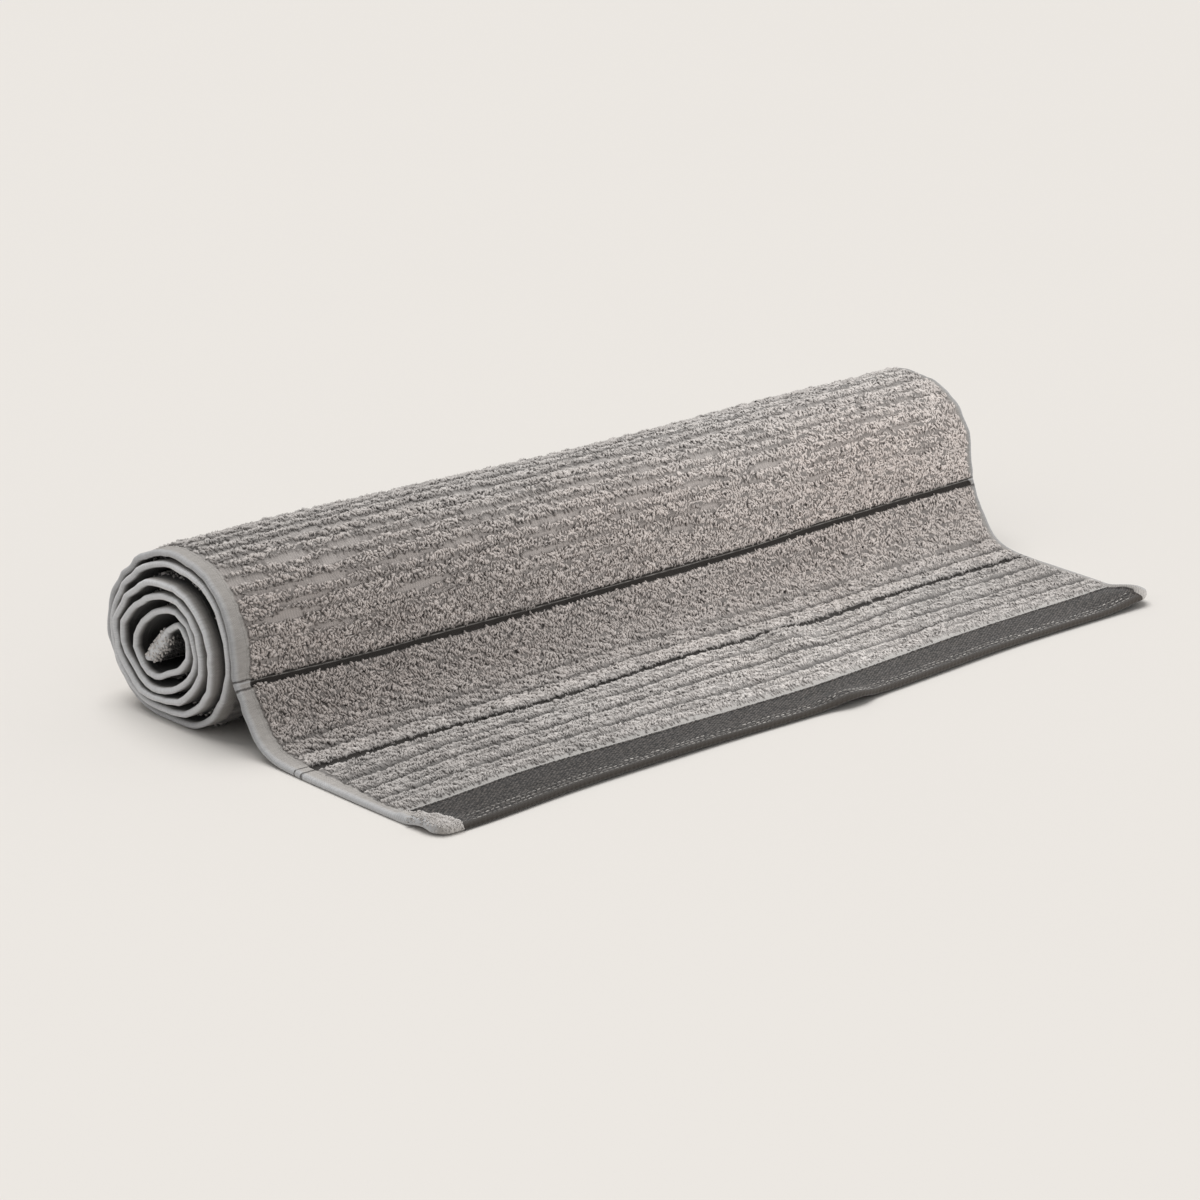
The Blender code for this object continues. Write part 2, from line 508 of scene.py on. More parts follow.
def middle_point(along, across):
    """The cloth's middle surface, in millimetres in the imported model's frame."""
    y = np.interp(along, LINE_DISTANCE, LINE_Y)
    z = np.interp(along, LINE_DISTANCE, LINE_Z)
    shift = np.interp(along, LINE_DISTANCE, LINE_SHIFT)
    before = np.minimum(along, 0)
    point = placed(y + before, z, shift, across / CLOTH_WIDTH)
    point[..., 2] += HEM_FOLD_LIFT * hump(across, *HEM_FOLD) * hump(along, 0, HEM_FOLD_REACH)
    leant = across - WRINKLE_LEAN * (along - WRINKLE_ALONG[0])
    point[..., 2] += WRINKLE_LIFT * hump(leant, *WRINKLE_ACROSS) * hump(along, *WRINKLE_ALONG)
    raised = step_up(across, *HEM_RAISE_ACROSS) * (1 + 0.5 * waves_across(97, across, 150))
    point[..., 2] += HEM_RAISE * raised * hump(along, 0, HEM_RAISE_REACH)
    return dented(point, along, across) + TO_MODEL


def dented(point, along, across):
    """The wound cloth with small dents all through, so that the turns stay clear of each other.

    The dents are deeper near the two ends. The kinks and the sway are there only, and stronger inside.
    """
    wound = step_up(along, *WOUND_ALONG) * step_up(point[..., 2], *WOUND_HEIGHT)
    near_end = np.minimum(across, CLOTH_WIDTH - across)
    depth = DENT * (0.55 + 0.45 * np.exp(-near_end / DENT_END_REACH)) * wound
    end = np.exp(-near_end / KINK_END_REACH) * wound * (0.35 + 0.65 * step_up(along, *INNER_TURNS))
    x, y, z = point[..., 0], point[..., 1], point[..., 2]
    moved = point.copy()
    moved[..., 1] += depth * waves(91, y + 0.25 * x, z, DENT_REACH, DENT_REACH)
    moved[..., 2] += depth * waves(92, y - 0.2 * x, z, DENT_REACH, DENT_REACH)
    moved[..., 1] += KINK * end * waves(94, y, z, KINK_REACH, KINK_REACH)
    moved[..., 2] += KINK * end * waves(96, y, z, KINK_REACH, KINK_REACH)
    moved[..., 0] += END_SWAY * end * waves_along(93, along, END_SWAY_REACH)
    moved[..., 0] += END_NICK * end * waves_along(95, along, END_NICK_REACH)
    return moved


def unit(vectors):
    """The vectors made one long."""
    return vectors / np.maximum(np.linalg.norm(vectors, axis=-1, keepdims=True), 1e-9)


def middle_normal(along, across):
    """The way out of the roll, square to the cloth's middle surface."""
    step = 1
    up = middle_point(along + step, across) - middle_point(along - step, across)
    over = middle_point(along, across + step) - middle_point(along, across - step)
    return unit(np.cross(over, up))


def channels():
    """Every flat woven channel as (middle, open, swing, wander)."""
    rows = [*FLAP_CHANNELS, *ROLL_CHANNELS]
    middle = ROLL_CHANNELS[-1][0] + RIDGE_PITCH
    rng = np.random.default_rng(5)
    while middle < SHOWN_TO:
        rows.append((middle, RIDGE_OPEN + rng.uniform(*RIDGE_OPEN_SPREAD), RIDGE_SWING, RIDGE_WANDER))
        middle += RIDGE_PITCH * rng.uniform(*RIDGE_PITCH_SPREAD)
    return rows


def ridge_edges(woven, across):
    """How far a place lies above the lower edge of its ridge of pile, and how far below the upper edge."""
    above, below = woven - PILE_FROM, CLOTH_LENGTH - woven
    gaps = []
    for middle, half_width, ragged in STRIPES:
        gaps.append((woven - middle, half_width - ragged * waves(int(middle), across, woven, 11, 60)))
    left = LEFT_OPEN * step_down(across, LEFT_OPEN_TO, LEFT_OPEN_TO / 2)
    right = RIGHT_CLOSED * step_up(across, CLOTH_WIDTH / 2, CLOTH_WIDTH * 0.75)
    for number, (middle, open_by, swing, wander) in enumerate(channels()):
        sway = wander * waves_across(100 + number, across, 170)
        half_width = open_by + swing * waves_across(300 + number, across, 75)
        half_width = half_width + (left - right) * (middle > STRIPES[1][0])
        gaps.append((woven + sway - middle, half_width))
    for off, half_width in gaps:
        inside = np.abs(off) - half_width
        above = np.where(off >= 0, np.minimum(above, inside), above)
        below = np.where(off < 0, np.minimum(below, inside), below)
    return above, below


def pile_depth(woven, across):
    """How far inside the pile a place lies: nothing or less in a channel, a stripe or the border."""
    return np.minimum(*ridge_edges(woven, across))


def outer_face(woven, across):
    """How far the outer face stands from the middle surface, before its edges are rounded."""
    depth = np.maximum(pile_depth(woven, across), 0)
    rib = woven < STRIPES[0][0]
    lumps = np.where(rib, RIB_CLUMP, CLUMP) * waves(73, across, woven, 10, 7.5)
    rise = np.where(rib, RIB_RISE, PILE_RISE) + lumps
    pile = GROUND_FACE + rise * (1 - np.exp(-depth / np.where(rib, RIB_OVER, RISE_OVER)))
    hem = HEM_FACE * hump(woven, HEM_TO / 2, HEM_TO) + BORDER_FACE
    lip = blend(BORDER_FACE, LIP_FACE, step_up(woven, LIP_FROM, LIP_TO))
    face = np.where(woven < PILE_FROM, np.maximum(hem, lip), pile)
    tape = TAPE_FACE + TAPE_UNEVEN * waves(71, across, woven, 40, 30)
    face = blend(tape, face, step_up(tape_depth(woven, across), -0.5, 0.7))
    tuft = step_up(tuft_depth(woven, across), -2, 5)
    lobe = tuft * (TAPE_FACE + TUFT_RISE - face)
    return face + lobe * (0.8 + 0.2 * waves(72, across, woven, 16, 14)) + core_swell(woven)


def core_share(woven):
    """One on the cloth's inner end, which is folded on itself in the core, and nothing before it."""
    return step_up(woven, CORE_FROM, CORE_FROM + CORE_RUN)


def core_swell(woven):
    """How much fuller each face is on the folded inner end."""
    return CORE_SWELL * core_share(woven)


def edge_share(woven, across):
    """One inside the cloth, falling to nothing round its edges."""
    side = np.minimum(across, CLOTH_WIDTH - across) / blend(EDGE_ROUND, CORE_ROUND, core_share(woven))
    end = np.minimum(woven / EDGE_ROUND, (CLOTH_LENGTH - woven) / CORE_ROUND)
    inside = np.clip(np.minimum(side, end), 0, 1)
    return np.sqrt(1 - (1 - inside) ** 2)


def face_point(woven, across, off, clear):
    """Points off the cloth's middle surface by this much, no nearer to the floor than clear."""
    along = along_cloth(woven, across)
    off = off * edge_share(woven, across)
    point = middle_point(along, across) + middle_normal(along, across) * off[..., None]
    point[..., 2] = np.maximum(point[..., 2], clear)
    return point


def outer_point(woven, across):
    """Points of the face that shows on the roll."""
    return face_point(woven, across, outer_face(woven, across), FLOOR_CLEAR)


def inner_point(woven, across):
    """Points of the face that lies on the floor and towards the roll's middle."""
    return face_point(woven, across, -(INNER_FACE + core_swell(woven)), FLOOR_CLEAR / 2)


def places_across():
    """Where the mesh's columns lie, close together at the two edges."""
    edge = [0, 0.35, 0.9, 1.7, 2.6, 4, 6.2, 7.4, 9, 11.5, 12.7, 13.7, 16, 20, 26]
    inside = np.linspace(edge[-1], CLOTH_WIDTH - edge[-1], 46)[1:-1]
    return np.array(edge + list(inside) + [CLOTH_WIDTH - place for place in reversed(edge)])


def places_along():
    """Where the mesh's rows lie, close together at the ends and where the cloth shows."""
    end = [0, 0.4, 1, 1.8, 2.8]
    rows = end + [LIP_FROM, LIP_TO, PILE_FROM] + [CLOTH_LENGTH - place for place in end]
    for middle, half_width, _ in STRIPES:
        rows += [middle - half_width, middle + half_width]
    rows += list(np.arange(4.4, SHOWN_TO, ROW_STEP))
    rows += list(np.arange(SHOWN_TO + 3, CORE_FROM, HIDDEN_ROW_STEP))
    rows += list(np.arange(CORE_FROM, CLOTH_LENGTH - 3.5, CORE_ROW_STEP))
    rows = sorted(rows)
    return np.array([row for row, before in zip(rows, [-1, *rows]) if row - before > 0.3])


def add_object(name, data):
    """A new object in the scene."""
    thing = bpy.data.objects.new(name, data)
    bpy.context.scene.collection.objects.link(thing)
    return thing


def mesh_object(name, points, faces, material):
    """A smooth mesh from points in millimetres."""
    data = bpy.data.meshes.new(name)
    data.from_pydata((points * MM).tolist(), [], faces)
    data.materials.append(material)
    data.shade_smooth()
    return add_object(name, data)


def corner_map(piece, name, values):
    """Gives each corner of the mesh's faces its place in a map."""
    layer = piece.data.uv_layers.new(name=name)
    layer.data.foreach_set("uv", np.ascontiguousarray(values, dtype=np.float32).ravel())


def keep_numbers(piece, name, values):
    """Keeps a number for each of the mesh's points, for its material to read."""
    layer = piece.data.attributes.new(name, "FLOAT", "POINT")
    layer.data.foreach_set("value", np.ascontiguousarray(values, dtype=np.float32).ravel())


def quads(index):
    """Faces between neighbouring rows and columns of a grid of point numbers."""
    corners = [index[:-1, :-1], index[:-1, 1:], index[1:, 1:], index[1:, :-1]]
    return np.stack(corners, axis=-1).reshape(-1, 4)


def make_cloth(material):
    """The towel itself as one closed sheet: its outer face, its inner face and rounded edges."""
    woven, over = np.meshgrid(places_along(), places_across(), indexing="ij")
    rows, columns = woven.shape
    inside = (slice(1, -1), slice(1, -1))
    outer = np.arange(rows * columns).reshape(rows, columns)
    inner = outer.copy()
    inner[inside] = rows * columns + np.arange((rows - 2) * (columns - 2)).reshape(rows - 2, -1)
    points = [outer_point(woven, over).reshape(-1, 3), inner_point(woven, over)[inside].reshape(-1, 3)]
    faces = np.concatenate([quads(outer), quads(inner)[:, ::-1]])
    cloth = mesh_object("towel_cloth", np.concatenate(points), faces.tolist(), material)
    map_cloth(cloth, np.stack([over, woven], axis=-1).reshape(-1, 2), quads(outer))
    numbers = {
        "pile": pile_depth(woven, over),
        "tape": np.minimum(tape_depth(woven, over), -tuft_depth(woven, over)),
        "side": np.minimum(over, CLOTH_WIDTH - over),
    }
    for name, values in numbers.items():
        keep_numbers(cloth, name, np.concatenate([values.ravel(), values[inside].ravel()]))
    keep_numbers(cloth, "inner", np.concatenate([np.zeros(woven.size), np.ones(woven[inside].size)]))
    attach(cloth, "root")
    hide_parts("towel")
    return cloth


def map_cloth(cloth, place, faces):
    """The cloth's own directions as one map, and both its faces side by side as the bake map."""
    back = faces[:, ::-1]
    corner_map(cloth, "cloth", np.concatenate([place[faces], place[back]]) * MM)
    half = place / (CLOTH_WIDTH, CLOTH_LENGTH) * (0.48, 0.98)
    corner_map(cloth, "OFBake", np.concatenate([(half + (0.01, 0.01))[faces], (half + (0.51, 0.01))[back]]))


# A loop's faces by its eight points: the first end, two rings of three and the second end
LOOP_FACES = (
    [(0, 1 + (k + 1) % 3, 1 + k) for k in range(3)]
    + [(1 + k, 1 + (k + 1) % 3, 4 + (k + 1) % 3) for k in range(3)]
    + [(1 + k, 4 + (k + 1) % 3, 4 + k) for k in range(3)]
    + [(7, 4 + k, 4 + (k + 1) % 3) for k in range(3)]
)


def loop_map_corners():
    """Where each corner of a loop's faces lies in its own square of the bake map."""
    lengthwise = (0, 0.33, 0.33, 0.33, 0.67, 0.67, 0.67, 1)
    corners = []
    for face in LOOP_FACES:
        rings = {number: (number - 1) % 3 for number in face if number not in (0, 7)}
        if {0, 2} <= set(rings.values()):
            rings = {number: ring or 3 for number, ring in rings.items()}
        middle = sum(rings.values()) / len(rings)
        corners += [(lengthwise[number], rings.get(number, middle) / 3) for number in face]
    return np.array(corners)


def painted_ridge_shade(woven, across):
    """Painted shade on a loop: darker at its ridge's edges than on the ridge's top."""
    above, below = ridge_edges(woven, across)
    lower = blend(LOWER_EDGE_LIGHT, 1, step_up(above, EDGE_FROM, LOWER_EDGE_REACH))
    upper = blend(UPPER_EDGE_LIGHT, 1, step_up(below, EDGE_FROM, UPPER_EDGE_REACH))
    return lower * upper


def loop_points(points, normals, directions, sizes):
    """Each loop's eight points: a small arched grain whose two ends are sunk into the cloth."""
    length, half_width, height = (sizes[:, k, None] for k in range(3))
    side = unit(np.cross(normals, directions)) * half_width
    sink = -LOOP_SINK * normals
    near = points - directions * length * LOOP_RING
    far = points + directions * length * LOOP_RING
    spots = [
        points - directions * length / 2 + sink,
        near + normals * height * LOOP_FIRST_RING,
        near + side + sink / 2,
        near - side + sink / 2,
        far + normals * height,
        far + side + sink / 2,
        far - side + sink / 2,
        points + directions * length / 2 + sink,
    ]
    vertices = np.stack(spots, axis=1)
    vertices[..., 2] = np.maximum(vertices[..., 2], FLOOR_CLEAR)
    return vertices


def loops_mesh(name, frames, sizes, woven, across, material, crests):
    """Loops as one mesh. frames are their points, normals and directions, and crests how light each is:
    painted shade on the loops, their own tone on the stitches.
    """
    vertices = loop_points(*frames, sizes)
    count = len(vertices)
    faces = np.array(LOOP_FACES)[None] + (np.arange(count) * len(LOOP_LIGHT))[:, None, None]
    piece = mesh_object(name, vertices.reshape(-1, 3), faces.reshape(-1, 3).tolist(), material)
    softer = FLAP_SOFTER * step_down(woven, *FLAP_SOFT_BELOW)
    softer = np.maximum(softer, RIGHT_SOFTER * step_up(across, *RIGHT_RUN))[:, None]
    light = np.array(LOOP_LIGHT)[None] * (1 - softer) + softer
    # The points' painted shade, softened on the flap and towards the right, kept as their light
    keep_numbers(piece, "light", light * crests[:, None])
    place = np.stack([across, woven], axis=-1) * MM
    corner_map(piece, "cloth", np.repeat(place, len(LOOP_FACES) * 3, axis=0))
    cells = math.ceil(math.sqrt(count))
    cell = np.stack([np.arange(count) % cells, np.arange(count) // cells], axis=-1)
    corner_map(piece, "OFBake", (cell[:, None] + 0.1 + 0.8 * loop_map_corners()[None]) / cells)
    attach(piece, "root")
    return piece


def face_frames(woven, across, face=outer_point):
    """A face's points, its normals, and its directions up along the cloth."""
    ahead, behind = np.minimum(woven + 0.8, CLOTH_LENGTH), np.maximum(woven - 0.8, 0)
    up = unit(face(ahead, across) - face(behind, across))
    over = face(woven, across + 0.4) - face(woven, np.maximum(across - 0.4, 0))
    normal = unit(np.cross(over, up))
    return face(woven, across), (normal if face is outer_point else -normal), up


def scattered(rng, from_along, to_along, from_across, to_across, pitch_along, pitch_across):
    """Uneven rows of places, as (woven, across)."""
    rows = np.arange(from_along, to_along, pitch_along)
    columns = np.arange(from_across, to_across, pitch_across)
    woven, across = np.meshgrid(rows, columns, indexing="ij")
    across = across + pitch_across / 2 * (np.arange(len(rows)) % 2)[:, None]
    woven = woven + rng.uniform(-LOOP_SCATTER, LOOP_SCATTER, woven.shape) * pitch_along
    across = across + rng.uniform(-LOOP_SCATTER, LOOP_SCATTER, woven.shape) * pitch_across
    return woven.ravel(), across.ravel()


def leaning(rng, woven, across, spread, swirl):
    """Which way each loop lies, as an angle from the cloth's length, like its neighbours but for some.

    At the edges of the roll's ridges, most of all near the left end, the loops lie along the ridge.
    """
    together = swirl * waves(81, across, woven, 42, 26)
    closer = 0.6 * swirl * waves(82, across, woven, 13, 10)
    at_edge = 1 - step_up(pile_depth(woven, across), 1.2, 3.2)
    near_left = step_down(across, LEFT_OPEN_TO * 2, LEFT_OPEN_TO)
    on_roll = step_up(woven, 222, 240) * (0.45 + 0.55 * near_left)
    aside = 1.35 * np.sign(waves(83, across, woven, 20, 14))
    return together + closer + aside * at_edge * on_roll + rng.normal(0, spread, woven.shape)


def grow_loops(name, seed, woven, across, lie_by, material, share=1, inner=0, on_pile=True):
    """Loops standing on the outer face at these places. The last inner of them are on the inner face.

    lie_by is how much each loop lies its own way, and how much they turn together.
    """
    rng = np.random.default_rng(seed)
    cut = len(woven) - inner
    outside = face_frames(woven[:cut], across[:cut])
    within = face_frames(woven[cut:], across[cut:], inner_point)
    point, normal, up = (np.concatenate(pair) for pair in zip(outside, within))
    free = point[:, 2] > LOOP_FLOOR
    woven, across, point, normal, up = (values[free] for values in (woven, across, point, normal, up))
    angle = leaning(rng, woven, across, *lie_by)[:, None]
    over = unit(np.cross(up, normal))
    direction = up * np.cos(angle) + over * np.sin(angle)
    direction = unit(direction + normal * rng.normal(0, LOOP_TILT, (len(woven), 1)))
    normal = unit(normal - direction * np.sum(normal * direction, axis=-1, keepdims=True))
    spreads = (LOOP_LENGTH, LOOP_HALF_WIDTH, LOOP_HEIGHT)
    sizes = share * np.stack([rng.uniform(*spread, len(woven)) for spread in spreads], axis=-1)
    sizes[:, 2] *= 1 - RIGHT_LOWER * step_up(across, *RIGHT_RUN)
    # Painted shade: at the ridges' edges on the pile, and within the folded inner end off it
    crests = painted_ridge_shade(woven, across) if on_pile else off_ridge_painted_light(woven, across)
    return loops_mesh(name, (point, normal, direction), sizes, woven, across, material, crests)


def off_ridge_painted_light(woven, across):
    """How light the loops off the ridges are, as painted light. On the folded inner end they are lighter at
    its cut sides and dark with painted shade within them.
    """
    side = np.minimum(across, CLOTH_WIDTH - across)
    return np.where(woven < CORE_FROM, 1, 1.4 - 1.25 * step_up(side, 3.5, 9.5))


def pile_band(name, seed, from_along, to_along, lie_by, material, share=1, sparser=1):
    """The pile of one stretch of the cloth, between its channels and side hems."""
    rng = np.random.default_rng(seed)
    pitches = (LOOP_PITCH_ALONG * sparser, LOOP_PITCH_ACROSS * sparser)
    woven, across = scattered(rng, from_along, to_along, RIGHT_TAPE, CLOTH_WIDTH - RIGHT_TAPE, *pitches)
    inside = tape_depth(woven, across) + rng.normal(0, 0.3, woven.shape)
    uneven = np.where(np.abs(woven - STRIPES[1][0]) < 6, 0.3, 0.55)
    depth = pile_depth(woven, across) + rng.normal(0, 1, woven.shape) * uneven
    kept = (depth > 1) & (inside > 0.7) & (tuft_depth(woven, across) < -1)
    kept &= waves(75, across, woven, 6.5, 5) < 0.88
    return grow_loops(name, seed + 1, woven[kept], across[kept], lie_by, material, share)


def end_pile(material):
    """The pile that shows in the gaps between the turns, just inside their side hems."""
    rng = np.random.default_rng(21)
    ends = ((LEFT_TAPE, 36), (CLOTH_WIDTH - 28, CLOTH_WIDTH - RIGHT_TAPE))
    spots = [scattered(rng, SHOWN_TO, CORE_FROM, *end, 3.4, 2.5) for end in ends]
    woven, across = (np.concatenate(pair) for pair in zip(*spots))
    kept = tape_depth(woven, across) > 0.5
    return grow_loops("loops_ends", 22, woven[kept], across[kept], (0.4, 0.5), material, 0.9, on_pile=False)


def core_pile(material):
    """The terry that covers the folded inner end, round both its faces and its two cut sides."""
    rng = np.random.default_rng(23)
    ends = ((0.2, 30), (CLOTH_WIDTH - 30, CLOTH_WIDTH - 0.2)) * 2
    spots = [scattered(rng, CORE_FROM + 4, CLOTH_LENGTH - 0.4, *end, 2.4, 1.7) for end in ends]
    woven, across = (np.concatenate(pair) for pair in zip(*spots))
    inner = sum(len(pair[0]) for pair in spots[2:])
    return grow_loops("loops_core", 24, woven, across, (0.7, 0.6), material, 0.8, inner, on_pile=False)


def corner_tuft(material):
    """The left front corner, where the side hem ends in rolled terry."""
    rng = np.random.default_rng(41)
    woven, across = scattered(rng, 0.3, TUFT_ALONG + 2, 0.2, TUFT_ACROSS + 1.5, 1.8, 1.35)
    depth = tuft_depth(woven, across) + 1.2 * waves(74, across, woven, 6, 6)
    depth = depth + rng.normal(0, 0.5, woven.shape)
    kept = (depth > 0) & ((across > 9) | (woven < 24))
    place = (woven[kept], across[kept])
    return grow_loops("loops_corner", 42, *place, (0.8, 0.7), material, 0.7, on_pile=False)


def border_stitches(material):
    """Three rows of small pale stitches that hold the border's folded hem."""
    rng = np.random.default_rng(61)
    woven, across = [], []
    for row in STITCH_ROWS:
        steps = 1 + rng.uniform(0, 1) + np.arange(int(CLOTH_WIDTH / STITCH_STEP))
        places = TUFT_ACROSS + STITCH_STEP * steps
        shown = waves_across(62 + int(row), places, 40) > -0.75
        shown &= tape_depth(np.full(len(places), row), places) > 1.5
        across.append(places[shown])
        woven.append(row + STITCH_WANDER * waves_across(63, places[shown], 55))
    woven, across = np.concatenate(woven), np.concatenate(across)
    point, normal, up = face_frames(woven, across)
    over = unit(np.cross(up, normal))
    direction = unit(over + up * rng.normal(0, 0.12, (len(woven), 1)))
    sizes = np.tile(STITCH_SIZE, (len(woven), 1))
    shade = 0.85 + 0.5 * waves(64, across, woven, 28, 9)
    return loops_mesh("border_stitches", (point, normal, direction), sizes, woven, across, material, shade)


class Nodes:
    """A new material's nodes, with short calls for the kinds used here."""

    def __init__(self, name, roughness, sheen):
        self.material = bpy.data.materials.new(name)
        self.material.use_nodes = True
        self.tree = self.material.node_tree
        self.shader = self.tree.nodes["Principled BSDF"]
        self.shader.inputs["Roughness"].default_value = roughness
        self.shader.inputs["Specular IOR Level"].default_value = 0.2
        self.shader.inputs["Sheen Weight"].default_value = sheen
        self.shader.inputs["Sheen Roughness"].default_value = 0.45

    def put(self, socket, value):
        """Links a socket to another one, or sets it to a constant."""
        if isinstance(value, bpy.types.NodeSocket):
            self.tree.links.new(value, socket)
        else:
            socket.default_value = value

    def math(self, operation, *values, clamp=False):
        node = self.tree.nodes.new("ShaderNodeMath")
        node.operation = operation
        node.use_clamp = clamp
        for socket, value in zip(node.inputs, values):
            self.put(socket, value)
        return node.outputs[0]

    def times(self, first, second):
        return self.math("MULTIPLY", first, second)

    def most(self, first, second):
        return self.math("MAXIMUM", first, second)

    def ribs(self, value, pitch):
        """Even ribs at this pitch, from -1 to 1."""
        return self.math("SINE", self.times(value, 2 * math.pi / pitch))

    def place(self):
        """How far across and along the cloth a point lies, in millimetres."""
        node = self.tree.nodes.new("ShaderNodeUVMap")
        node.uv_map = "cloth"
        parts = self.tree.nodes.new("ShaderNodeSeparateXYZ")
        self.put(parts.inputs[0], node.outputs[0])
        return self.times(parts.outputs[0], 1000), self.times(parts.outputs[1], 1000)

    def point(self, x, y):
        node = self.tree.nodes.new("ShaderNodeCombineXYZ")
        for socket, value in zip(node.inputs, (x, y)):
            self.put(socket, value)
        return node.outputs[0]

    def stored(self, name):
        """A number kept on the mesh's points."""
        node = self.tree.nodes.new("ShaderNodeAttribute")
        node.attribute_name = name
        return node.outputs["Fac"]

    def noise(self, scale, detail, where=None):
        """Noise in the object's own space, or in another."""
        if where is None:
            where = self.tree.nodes.new("ShaderNodeTexCoord").outputs["Object"]
        node = self.tree.nodes.new("ShaderNodeTexNoise")
        for socket, value in (("Scale", scale), ("Detail", detail), ("Vector", where)):
            self.put(node.inputs[socket], value)
        return node.outputs["Fac"]

    def each(self, across, along):
        """A different number for each loop."""
        node = self.tree.nodes.new("ShaderNodeTexWhiteNoise")
        node.noise_dimensions = "2D"
        self.put(node.inputs["Vector"], self.point(across, along))
        return node.outputs["Value"]

    def span(self, value, start, end, soft=0.3):
        """One between start and end, and nothing outside them."""
        rising = self.ramp(value, start - soft, start + soft)
        falling = self.ramp(value, end - soft, end + soft)
        return self.math("SUBTRACT", rising, falling, clamp=True)

    def ramp(self, value, start, end, low=0, high=1):
        """Low where the value is start, high where it is end, and straight between them."""
        node = self.tree.nodes.new("ShaderNodeMapRange")
        node.clamp = True
        for socket, given in zip(node.inputs, (value, start, end, low, high)):
            self.put(socket, given)
        return node.outputs[0]

    def lit(self, colour, value, start, end, low, high):
        """A colour as light as low where the value is start, and as high where it is end."""
        return self.shade(colour, self.ramp(value, start, end, low, high))

    def mix(self, share, first, second):
        node = self.tree.nodes.new("ShaderNodeMix")
        node.data_type = "RGBA"
        self.put(node.inputs["Factor"], share)
        self.put(node.inputs[6], first)
        self.put(node.inputs[7], second)
        return node.outputs[2]

    def mix_numbers(self, share, first, second):
        return self.math("MULTIPLY_ADD", share, self.math("SUBTRACT", second, first), first)

    def shade(self, colour, factor):
        """A colour, linked or constant, made lighter or darker by a factor."""
        node = self.tree.nodes.new("ShaderNodeVectorMath")
        node.operation = "SCALE"
        self.put(node.inputs[0], colour[:3] if isinstance(colour, tuple) else colour)
        self.put(node.inputs["Scale"], factor)
        return node.outputs[0]

    def bump(self, height, distance, strength):
        node = self.tree.nodes.new("ShaderNodeBump")
        node.inputs["Strength"].default_value = strength
        node.inputs["Distance"].default_value = distance
        self.put(node.inputs["Height"], height)
        return node.outputs[0]

    def done(self, colour, normal=None, roughness=None):
        """The finished material."""
        given = {"Base Color": colour, "Normal": normal, "Roughness": roughness}
        for name, value in given.items():
            if value is not None:
                self.put(self.shader.inputs[name], value)
        return self.material


def rgb(red, green, blue):
    return (red, green, blue, 1)


PALE = rgb(0.63, 0.609, 0.592)
TAUPE = rgb(0.585, 0.528, 0.498)
TAPE_WARM = rgb(0.315, 0.3, 0.286)
TAPE_RIM = rgb(0.4, 0.404, 0.413)
LIP_PALE = rgb(0.41, 0.397, 0.384)
CHARCOAL = rgb(0.044, 0.0405, 0.0395)
HEM_BROWN = rgb(0.034, 0.029, 0.025)
STRIPE_DARK = rgb(0.021, 0.018, 0.016)
MARK_DARK = rgb(0.05, 0.045, 0.043)
STITCH_PALE = rgb(0.33, 0.315, 0.3)
FLOOR_COLOURS = (rgb(0.80, 0.775, 0.744), rgb(0.806, 0.781, 0.751))

# The weave's pitches across and along, and those of the terry ground's ribs and the border's slanting twill
WEAVE_PITCH = (1.5, 1.3)
GROUND_RIB_PITCH = 2.2
TWILL_PITCH = 4
TWILL_SLANT = -1.6

# Bands along the cloth, as where they start and end and how softly
FRONT_BAND = (165, 300, 30)
UNDER_STRIPE_BAND = (160, STRIPES[1][0] - 4, 9)
BORDER_BAND = (-50, BORDER_TO, 0.2)
LIP_BAND = (BORDER_TO, PILE_FROM + 2.2, 0.4)
THIN_LINE_BAND = (STRIPES[1][0] + 0.9, STRIPES[1][0] + 1.6, 0.2)

# The seam on the side hems, by how far inside them it lies, and the stripes' two marks on them
SEAM_BAND = (-2.9, -2.3, 0.25)
MARK_OFF = 3.1
MARK_HALF_WIDTH = 0.7


def pile_colour(nodes, across, along):
    """Warm grey, paler on the flap's ribs and on top, browner on the plain front, with painted light and
    shade.
    """
    front = nodes.span(along, *FRONT_BAND)
    brown = nodes.math("MULTIPLY_ADD", nodes.noise(9, 3), 0.5, nodes.times(front, 0.6), clamp=True)
    # Painted shade on the roll's lower front, below the upper stripe
    under_stripe = nodes.span(along, *UNDER_STRIPE_BAND)
    under_stripe_painted_shade = nodes.mix_numbers(under_stripe, 1, nodes.ramp(across, 250, 600, 0.84, 0.86))
    # Painted shade on the flap, darker towards its left and right ends
    flap_painted_shade = nodes.ramp(across, 90, 330, 0.86, 0.99)
    flap_painted_shade = nodes.times(flap_painted_shade, nodes.ramp(across, 400, 690, 1, 0.75))
    colour = nodes.shade(nodes.mix(brown, PALE, TAUPE), under_stripe_painted_shade)
    # Painted light: the pile a little lighter towards the right
    colour = nodes.lit(colour, across, 120, 420, 1, 1.04)
    return nodes.shade(colour, nodes.mix_numbers(nodes.ramp(along, 134, 175, 1, 0), 1, flap_painted_shade))


